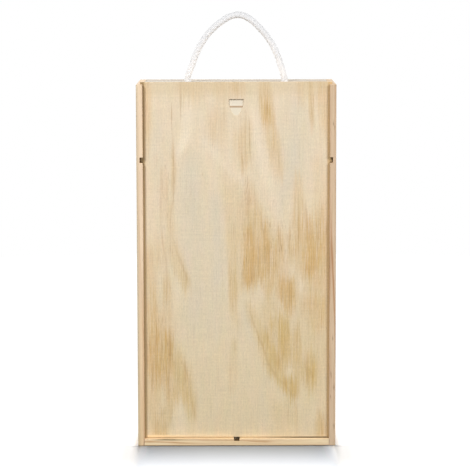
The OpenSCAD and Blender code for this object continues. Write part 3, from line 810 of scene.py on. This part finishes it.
# An overhand knot drawn tight, about the middle of the knot.
KNOT = [
    (0, 0, 10), (-0.6, 0, 6.5), (-2.6, 0, 3), (-3.4, -0.8, -1), (-1.8, -3.0, -4), (2.2, -4.4, -3.2),
    (5.0, -1.6, -0.6), (4.4, 3.0, 1.8), (0.4, 5.0, 3.6), (-4.0, 3.8, 3.4), (-5.4, -0.4, 2.2),
    (-3.4, -4.2, 2.2), (0.6, -2.6, 1.6), (2.0, 0.2, -1.5), (1.2, 0.6, -6), (0.4, 0.2, -9), (0, 0, -13),
]


def along_line(line):
    """How far along a line each of its points lies."""
    steps = np.linalg.norm(np.diff(line, axis=0), axis=1)
    return np.concatenate([[0], np.cumsum(steps)])


def curve_through(points):
    """Points every STEP on a smooth line through the given ones."""
    p = np.array(points, float)
    p = np.vstack([2 * p[0] - p[1], p, 2 * p[-1] - p[-2]])
    t = np.linspace(0, 1, 40, endpoint=False)[:, None]
    parts = []
    for a, b, c, d in zip(p, p[1:], p[2:], p[3:]):
        part = 2 * b + (c - a) * t
        part = part + (2 * a - 5 * b + 4 * c - d) * t**2
        part = part + (3 * b - a - 3 * c + d) * t**3
        parts.append(0.5 * part)
    line = np.vstack([*parts, p[-2:-1]])
    far = along_line(line)
    wanted = np.linspace(0, far[-1], int(round(far[-1] / STEP)) + 1)
    return np.stack([np.interp(wanted, far, line[:, i]) for i in range(3)], axis=1)


def axes_across(line):
    """Two axes across the line at each point, turned no more than the line itself turns."""
    way = np.gradient(line, axis=0)
    way = way / np.linalg.norm(way, axis=1)[:, None]
    start = (0.0, 1.0, 0.0) if abs(way[0][Y]) < 0.9 else (1.0, 0.0, 0.0)
    normals = [np.cross(way[0], start)]
    for w in way[1:]:
        normals.append(normals[-1] - np.dot(normals[-1], w) * w)
    normals = np.array(normals)
    normals = normals / np.linalg.norm(normals, axis=1)[:, None]
    return normals, np.cross(way, normals)


def strand_skin(off, radius):
    """How far out the skin lies at an angle off a strand's middle, and the angle round that strand."""
    out = STRAND_OUT * radius
    r = out * np.cos(off) + np.sqrt((STRAND_R * radius) ** 2 - (out * np.sin(off)) ** 2)
    return r, np.arctan2(r * np.sin(off), r * np.cos(off) - out)


def rope_skin(line, radius):
    """Points round each point of the line: three strands, with the yarns as fine grooves."""
    far = along_line(line)[:, None]
    strand = np.round(TURN / THIRD)
    off = TURN - THIRD * strand
    skin, round_strand = strand_skin(off, radius)
    # Each strand swells and shrinks a little along its length, and meets the next at one height.
    uneven = 0.03 * np.sin(far * 0.9 + 2.1 * (strand % 3)) + 0.02 * np.sin(far * 2.3 + strand % 3)
    yarn = YARNS * (round_strand + YARN_SLOPE * far)
    groove = 0.02 * (1 - np.abs(np.cos(yarn / 2))) ** 1.5
    r = skin * (1 + (uneven - groove) * np.cos(1.5 * off))
    from_end = np.minimum(far, far[-1] - far)
    r = (r * np.clip(from_end / END_ROUND, 0.02, 1) ** 0.5)[..., None]
    angle = (TURN + 2 * math.pi / LAY * far)[..., None]
    normal, side = axes_across(line)
    return line[:, None] + r * (np.cos(angle) * normal[:, None] + np.sin(angle) * side[:, None])


def yarn_places(line, radius, i, j):
    """A UV for each corner of the faces: u counts yarns, and v is how far along the rope it is."""
    far = along_line(line)
    half = math.pi / SIDES
    # A face's own strand gives both its sides their place among the yarns.
    middle = THIRD * np.round((TURN[j] + half) / THIRD)
    yarns = YARNS / (2 * math.pi)
    u0, u1 = (yarns * strand_skin(TURN[j] + more - middle, radius)[1] for more in (0, 2 * half))
    v0, v1 = far[i], far[i + 1]
    corners = ((u0, v0), (u1, v0), (u1, v1), (u0, v1))
    places = [np.stack([u + yarns * YARN_SLOPE * v, v], axis=1) for u, v in corners]
    return np.vstack([np.stack(places, axis=1).reshape(-1, 2), np.zeros((2 * SIDES, 2))])


def laid_rope(name, line, radius, material):
    """Three strands laid round each other along line, as one closed skin."""
    last = len(line) - 1
    i, j = (m.ravel() for m in np.meshgrid(np.arange(last), np.arange(SIDES), indexing="ij"))
    here, there, after = i * SIDES, (i + 1) * SIDES, (j + 1) % SIDES
    faces = np.stack([here + j, here + after, there + after, there + j], axis=1).tolist()
    faces.append(list(range(SIDES))[::-1])
    faces.append([last * SIDES + side for side in range(SIDES)])
    mesh = bpy.data.meshes.new(name)
    mesh.from_pydata((rope_skin(line, radius).reshape(-1, 3) * MM).tolist(), [], faces)
    places = yarn_places(line, radius, i, j).astype(np.float32)
    mesh.uv_layers.new(name="yarn").data.foreach_set("uv", places.ravel())
    mesh.shade_smooth()
    mesh.materials.append(material)
    return placed(name, mesh)


def rope_white(name):
    """Soft white yarns with a little sheen."""
    g = Graph(name)
    u, v, _ = g.split(g.coordinates.outputs["UV"])
    thread = g.join(g.times(u, 3.0), g.times(v, 0.35), 0.0)
    thread = g.noise(thread, detail=3, roughness=0.6)
    groove = g.abs(g.math("COSINE", g.times(u, math.pi)))
    lint = g.noise(g.mm, (0.5, 0.5, 0.5), detail=3)
    soil = g.noise(g.mm, (9, 9, 9))
    # A touch darker down between the yarns: painted shade, and a little dirt.
    colour = g.mix(g.span(groove, 0.0, 0.6), srgb(225, 225, 227), srgb(229, 229, 230))
    colour = g.shade(colour, g.times(g.around(thread, 0.03), g.around(lint, 0.02)))
    colour = g.mix(g.span(soil, 0.45, 0.8, 0, 0.2), colour, srgb(224, 224, 225))
    g.shader.inputs["Sheen Weight"].default_value = 0.25
    g.shader.inputs["Sheen Roughness"].default_value = 0.5
    height = g.plus(g.times(groove, 0.8), thread)
    return g.finish(colour, g.muladd(thread, 0.15, 0.7), height, 0.03, specular=0.15)


def rope_arch(material):
    """The standing handle, from the top board's underside at one hole to that at the other."""
    in_hole = (TOP_UNDER + 0.2, TOP_UNDER + 3, BOX_TOP)
    line = curve_through(
        [(-ROPE_HOLE_X, ROPE_Y, z) for z in in_hole]
        + [(x, ROPE_Y, BOX_TOP + up) for x, up in ROPE_ROUTE]
        + [(ROPE_HOLE_X, ROPE_Y, z) for z in reversed(in_hole)]
    )
    arch = laid_rope("rope_arch", line, ROPE_R, material)
    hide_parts("rope_handle")
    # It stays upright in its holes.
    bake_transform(arch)
    return arch


def rope_knot(side_name, sign, material):
    """The knot and tail that hold one end of the rope under the top board."""
    centre = np.array([sign * ROPE_HOLE_X, ROPE_Y, KNOT_MIDDLE])
    line = curve_through([centre + np.array([sign * x, y, z]) for x, y, z in KNOT])
    line = line[line[:, Z] < TOP_UNDER]
    knot = laid_rope(f"rope_knot_{side_name}", line, KNOT_R, material)
    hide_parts(f"rope_end_{side_name}")
    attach(knot, "box")


white = rope_white("rope_white")
rope = rope_arch(white)
rope_knot("left", -1, white)
rope_knot("right", 1, white)


# ---- boards, panels and lid ----

SHORTEST_EASED = 2.5
SHARP = math.radians(30)
SAME_PLACE = 1e-6
FLAT = math.radians(0.5)


def board(node, name, arris, material, body="box"):
    """A CAD board as a piece of its own, with its long edges eased by arris millimetres."""
    bm = bmesh.new()
    bm.from_mesh(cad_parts[node].data)
    bmesh.ops.remove_doubles(bm, verts=bm.verts, dist=SAME_PLACE)
    bmesh.ops.dissolve_limit(bm, angle_limit=FLAT, verts=bm.verts, edges=bm.edges)
    sharp = [
        edge
        for edge in bm.edges
        if len(edge.link_faces) == 2
        and edge.calc_length() > SHORTEST_EASED * MM
        and edge.calc_face_angle_signed() > SHARP
    ]
    bmesh.ops.bevel(
        bm,
        geom=sharp,
        offset=arris * MM,
        offset_type="OFFSET",
        segments=3,
        profile=0.5,
        affect="EDGES",
        clamp_overlap=False,
    )
    mesh = bpy.data.meshes.new(name)
    bm.to_mesh(mesh)
    bm.free()
    mesh.shade_flat()
    mesh.materials.append(material)
    piece = placed(name, mesh)
    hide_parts(node)
    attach(piece, body)


# Streaks on the boards' front edges: by (height, x) on the sides, by (x from the left end,
# height) on the bottom board.
RIGHT_GRAIN = [
    [(270, 94.2, 1.2, 0), (240, 94.6, 1.2, 0.25), (215, 95.3, 1.2, 0.45), (195, 96.2, 1.3, 0.8),
     (170, 97.3, 1.2, 0.9), (145, 98.4, 1.1, 0.85), (120, 99.2, 0.9, 0.7), (95, 99.4, 0.8, 0.5),
     (80, 99.4, 0.8, 0)],
    [(240, 94.4, 2.4, 0.1), (205, 94.6, 2.6, 0.28), (190, 94.4, 2.4, 0.42), (165, 94.2, 2.2, 0.38),
     (145, 94.2, 1.6, 0.15), (120, 94.2, 1.5, 0)],
    [(366, 98.6, 1.2, 0.35), (340, 98.6, 1.2, 0.3), (310, 98.6, 1, 0.2), (270, 98.8, 0.8, 0.25),
     (220, 99, 0.8, 0)],
    [(110, 95, 1, 0), (95, 95, 1.2, 0.2), (60, 95.3, 1.3, 0.25), (35, 95.2, 1.2, 0.08), (20, 95, 1.2, 0)],
    [(90, 98.3, 0.7, 0), (72, 98.2, 0.8, 0.3), (50, 98.4, 0.8, 0.25), (30, 98.5, 0.8, 0.1),
     (10, 98.5, 0.8, 0)],
]
RIGHT_SPECKS = [
    [(330, 96.8, 0.5, 0), (327, 97, 0.8, 0.7), (324, 97, 0.5, 0)],
    [(326, 98.4, 0.5, 0), (323, 98.5, 0.8, 0.65), (320, 98.4, 0.5, 0)],
    [(114, 97, 0.4, 0), (110, 97, 0.8, 0.6), (106, 97, 0.4, 0)],
    [(78, 95.2, 0.4, 0), (73, 95.4, 0.8, 0.75), (68, 95.6, 0.4, 0)],
    [(64, 98.2, 0.4, 0), (60, 98.3, 0.9, 0.75), (56, 98.3, 0.4, 0)],
    [(53, 95, 0.4, 0), (50, 95, 0.8, 0.6), (47, 95, 0.4, 0)],
    [(24, 98.5, 0.4, 0), (20, 98.5, 0.9, 0.7), (16, 98.5, 0.4, 0)],
]
LEFT_GRAIN = [
    [(190, -94.0, 0.8, 0), (150, -94.2, 1.2, 0.3), (110, -94.4, 1.3, 0.36), (60, -94.4, 1.3, 0.36),
     (20, -94.4, 1.3, 0.36), (0, -94.4, 1.3, 0.36)],
    [(340, -97.6, 0.6, 0), (310, -97.5, 0.7, 0.15), (250, -97.4, 0.7, 0.2), (180, -97.2, 0.7, 0.15),
     (120, -97, 0.7, 0.15), (60, -97, 0.7, 0)],
]
# Painted shade along the left board's outer edge.
LEFT_EDGE_SHADE = [
    [(366, -99.2, 1.9, 0.5), (240, -99.2, 1.9, 0.5), (120, -99.2, 1.9, 0.65), (0, -99.2, 1.9, 0.65)],
]
BOTTOM_GRAIN = [
    [(6, 4.4, 0.8, 0.5), (12, 4.2, 0.9, 0.8), (22, 4.1, 0.9, 0.6), (30, 3.6, 0.9, 0.5), (37, 3.2, 0.9, 0.8),
     (46, 2.6, 1.0, 0.5), (60, 2.4, 0.8, 0.2), (75, 2.2, 0.8, 0)],
    [(56, 5.8, 0.8, 0), (64, 5.8, 1.2, 0.45), (80, 5.5, 1.2, 0.35), (88, 5.3, 1.1, 0.4),
     (105, 5.3, 1.1, 0.4), (112, 4.9, 1.2, 0.5), (120, 4.4, 1.3, 0.6), (130, 4.2, 1.5, 0.55),
     (138, 4.4, 1.2, 0.15), (150, 5, 1, 0)],
    [(140, 5.2, 0.6, 0), (152, 4.4, 0.8, 0.3), (168, 4.6, 0.8, 0.3), (180, 4.4, 0.6, 0)],
]
BOTTOM_STREAK = [
    [(12, 5.9, 0.5, 0), (19, 6.0, 0.8, 0.5), (27, 6.2, 0.9, 0.85), (36, 6.1, 1.0, 0.8),
     (44, 6.1, 0.8, 0.45), (56, 6.2, 0.7, 0.2), (66, 6.2, 0.5, 0)],
]
BOTTOM_RIM = [
    [(4, 1.6, 1.6, 0.8), (18, 2.0, 2.0, 0.9), (30, 1.6, 1.4, 0.8), (38, 1.0, 0.8, 0.2), (60, 1.0, 0.8, 0.1),
     (100, 1.2, 0.8, 0.2), (120, 1.2, 0.8, 0)],
    [(132, 4.8, 2.2, 0), (146, 5.0, 3.0, 0.45), (165, 4.8, 3.4, 0.6), (180, 4.6, 3.6, 0.85),
     (193, 4.4, 3.6, 0.85)],
    [(5, 5.6, 0.8, 0.1), (26, 4.9, 0.8, 0.5), (34, 4.6, 0.9, 0.4), (46, 4.4, 1.0, 0.6), (62, 4.1, 1.3, 0.6),
     (90, 4, 1, 0.3), (104, 3.8, 0.8, 0)],
]
NECK_DADO = (Z, 290.2, 2.9)
DIVIDER_DADO = (X, 0, 2.9)


def pine_left():
    """Pale and broad-ringed, with painted shade along its outer edge and in its dado."""
    return solid_pine(
        "pine_side_left", Z, (-142, 14), 4.2, srgb(240, 215, 184), srgb(203, 164, 120),
        low=srgb(237, 208, 164),
        marks=[(LEFT_GRAIN, srgb(196, 152, 112)), (LEFT_EDGE_SHADE, srgb(190, 176, 146))],
        dado=(*NECK_DADO, srgb(214, 168, 112)),
    )


def pine_right():
    """Darker and closer-ringed, with brown grain lines, small dark specks and painted shade in its dado."""
    return solid_pine(
        "pine_side_right", Z, (155, -20), 3.6, srgb(212, 187, 155), srgb(184, 145, 106),
        quiet=0.3,
        marks=[(RIGHT_GRAIN, srgb(176, 128, 88)), (RIGHT_SPECKS, srgb(112, 78, 52))],
        dado=(*NECK_DADO, srgb(206, 160, 106)),
    )


def pine_top():
    """Greyish, and greyer towards the back."""
    return solid_pine(
        "pine_top", X, (15, 310), 4.0, srgb(225, 211, 191), srgb(198, 168, 130),
        face=Z, band=(-18, 26, (0.81, 0.88, 0.98)),
    )


def pine_bottom():
    """Warm, with a pale rim, a mossy streak, and painted shade under the lid's foot and in the divider's
    dado.
    """
    grain, rim, streak = srgb(190, 140, 92), srgb(246, 224, 184), srgb(112, 104, 72)
    return solid_pine(
        "pine_bottom", X, (-70, -26), 3.2, srgb(238, 212, 170), srgb(200, 158, 106),
        face=Z, quiet=0.35,
        marks=[(BOTTOM_GRAIN, grain), (BOTTOM_RIM, rim), (BOTTOM_STREAK, streak)],
        foot_shade=(5, 75, srgb(108, 88, 54)),
        dado=(*DIVIDER_DADO, srgb(92, 70, 38)),
    )


board("side_left", "side_board_left", 0.4, pine_left())
board("side_right", "side_board_right", 0.4, pine_right())
board("top_board", "top_board_planed", 0.35, pine_top())
board("bottom_board", "bottom_board_planed", 0.4, pine_bottom())
board("back_panel", "back_panel_ply", 0.25, plain_plywood("ply_back", Y, 50.0, 4.0, Z, 31))
board("divider", "divider_ply", 0.25, plain_plywood("ply_divider", X, -2.5, 5.0, Z, 77))
board("neck_rest", "neck_rest_ply", 0.25, plain_plywood("ply_neck_rest", Z, 287.7, 5.0, X, 12))
board("lid", "sliding_lid", 0.25, lid_plywood("ply_lid", -46.7, 4.0), body="lid")


# ---- brads ----


def brad_steel(name):
    """Drawn steel wire, finely scratched."""
    g = Graph(name)
    scratch = g.noise(g.mm, (0.15, 0.15, 0.6), detail=3)
    blotch = g.noise(g.mm, (0.8, 0.8, 0.8))
    colour = g.mix(blotch, srgb(122, 121, 117), srgb(150, 149, 145))
    g.shader.inputs["Metallic"].default_value = 1
    return g.finish(colour, g.muladd(scratch, 0.25, 0.28), scratch, 0.01)


steel = brad_steel("brad_steel_wire")
for node in ("side_brads", "back_brads"):
    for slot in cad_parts[node].material_slots:
        slot.material = steel


# ---- floor and world, in metres ----

FLOOR_R = 1.5
FLOOR_DOWN = 0.0002
FLOOR_BOUNCE = (0.26, 0.26, 0.26, 1)
FLOOR_COOL = (0.82, 0.945, 1.14, 1)
WHITE = (1.0, 1.0, 1.0, 1)
WORLD_LIGHT = 0.14


def shadow_ends(n, x, beside, ahead):
    """How much lighter the floor is just inside the two ends of the shadow in front of the box."""
    left = n.span(beside, -0.013, -0.002, 0.0, 0.72)
    left = n.times(left, n.math("LESS_THAN", x, 0.0))
    right = n.math("POWER", n.most(n.muladd(beside, 68.5, 1.16), 0.0), 2.2)
    right = n.times(right, 1.75, n.math("GREATER_THAN", x, 0.0))
    lift = n.times(n.plus(left, right), n.span(beside, -0.0024, 0.0008, 1.0, 0.0))
    near = n.math("POWER", n.most(n.muladd(ahead, -10.5, 1.0), 0.0), 2.0)
    return n.times(lift, near)


def open_floor_fade(n, beside, ahead, away):
    """Painted shade, below 0: how much darker the floor is just outside those ends, and right at the box's
    foot.
    """
    fade = n.times(n.span(beside, 0.001, 0.006, 0.0, -0.13), n.span(beside, 0.010, 0.022, 1.0, 0.0))
    fade = n.times(fade, n.span(ahead, 0.05, 0.1, 1.0, 0.0))
    return n.plus(fade, n.span(away, 0.0, 0.008, -0.26, 0.0))


def floor_colour(n):
    """White, cooler close to the box to answer its warm bounce, and softer at its front corners."""
    x, y, _ = n.split(n.node("ShaderNodeTexCoord").outputs["Object"])
    beside = n.minus(n.abs(x), HALF_WIDE)
    before = n.minus(n.abs(y), HALF_DEEP)
    ahead = n.muladd(y, -1.0, -HALF_DEEP)
    away = n.most(n.most(beside, before), 0.0)
    # The shadow's ends run out softly over 18 mm, so the floor makes up for the lamp's sharper ones.
    change = n.plus(shadow_ends(n, x, beside, ahead), open_floor_fade(n, beside, ahead, away))
    level = n.muladd(change, n.span(ahead, -0.003, 0.001), 1.0)
    warmth = n.math("DIVIDE", 1.1, n.muladd(away, 26.0, 1.0))
    warmth = n.times(warmth, n.span(ahead, -0.012, 0.004), n.span(beside, -0.006, 0.003, 1.0, 0.0))
    return n.shade(n.mix(warmth, WHITE, FLOOR_COOL), level)


def floor_material():
    """The white floor that the camera sees, and a mid grey for the light that it bounces."""
    material = bpy.data.materials.new("floor_white")
    n = Nodes(material)
    seen = n.node("ShaderNodeBsdfDiffuse", floor_colour(n)).outputs[0]
    bounced = n.node("ShaderNodeBsdfDiffuse", FLOOR_BOUNCE).outputs[0]
    direct = n.node("ShaderNodeLightPath").outputs["Is Camera Ray"]
    shown = n.node("ShaderNodeMixShader", direct, bounced, seen).outputs[0]
    n.node("ShaderNodeOutputMaterial", shown)
    return material


def round_floor():
    """A disc just under the box."""
    bm = bmesh.new()
    bmesh.ops.create_circle(bm, cap_ends=True, segments=96, radius=FLOOR_R)
    mesh = bpy.data.meshes.new("floor")
    bm.to_mesh(mesh)
    bm.free()
    mesh.materials.append(floor_material())
    disc = placed("floor", mesh)
    disc.location.z = -FLOOR_DOWN
    return disc


def studio_world():
    """White where it is seen directly, reflected or through glass, and dim as a light."""
    world = bpy.data.worlds.new("studio")
    n = Nodes(world)
    ray = n.node("ShaderNodeLightPath").outputs
    shown = n.most(n.most(ray["Is Camera Ray"], ray["Is Glossy Ray"]), ray["Is Transmission Ray"])
    strength = n.span(shown, 0.0, 1.0, WORLD_LIGHT, 1.0, kind="LINEAR")
    sky = n.node("ShaderNodeBackground", WHITE, strength).outputs[0]
    n.node("ShaderNodeOutputWorld", sky)
    return world


floor = round_floor()
bpy.context.scene.world = studio_world()


# ---- lamps ----

# name: (place, aim, width, height, watts)
LAMPS = {
    "overhead": ((0, 4.5, 30), (0, 0.1, 0), 0.8, 8.7, 8500),
    "key": ((-1.02, -2.2, 1.7), (0, 0, 0.19), 0.4, 0.8, 41),
    "fill": ((0.98, -2.2, 1.1), (0, 0, 0.19), 0.6, 0.9, 26.3),
    "low": ((0, -1.6, 0.2), (0, 0, 0.4), 1.6, 0.2, 3.6),
    "top": ((0, -0.5, 2.6), (0, 0, 0.3), 1.4, 1.0, 22),
    "rear_left": ((-2.05, 1.3, 0.7), (0, 0, 0.2), 1.4, 1.4, 44),
    "rear_right": ((2.05, 1.3, 0.7), (0, 0, 0.2), 1.4, 1.4, 46),
}


def softbox(name, place, aim, wide, high, watts):
    """A rectangular lamp that faces aim."""
    lamp = bpy.data.lights.new(name, "AREA")
    lamp.shape = "RECTANGLE"
    lamp.size, lamp.size_y = wide, high
    lamp.energy = watts
    holder = placed(name, lamp)
    holder.location = place
    holder.rotation_euler = (Vector(aim) - Vector(place)).to_track_quat("-Z", "Y").to_euler()
    return holder


lamps = {name: softbox(name, *row) for name, row in LAMPS.items()}


def linked(name, things, lamp_names, state):
    """Makes these the only things that the lamps light, or the only ones they don't."""
    group = bpy.data.collections.new(name)
    for thing in things:
        group.objects.link(thing)
    for row in group.collection_objects:
        row.light_linking.link_state = state
    for lamp_name in lamp_names:
        lamps[lamp_name].light_linking.receiver_collection = group


# The overhead lamp draws the shadow on the floor, and the other lamps light the box. The thin
# white rope is lit from low in front in place of the top, so that it stays one even pale tone.
linked("floor_lamps", [floor], ["overhead"], "INCLUDE")
linked("box_lamps", [floor], ["key", "fill", "rear_left", "rear_right"], "EXCLUDE")
linked("top_lamps", [floor, rope], ["top"], "EXCLUDE")
linked("rope_lamps", [rope], ["low"], "INCLUDE")

bpy.context.scene.view_settings.view_transform = "Standard"
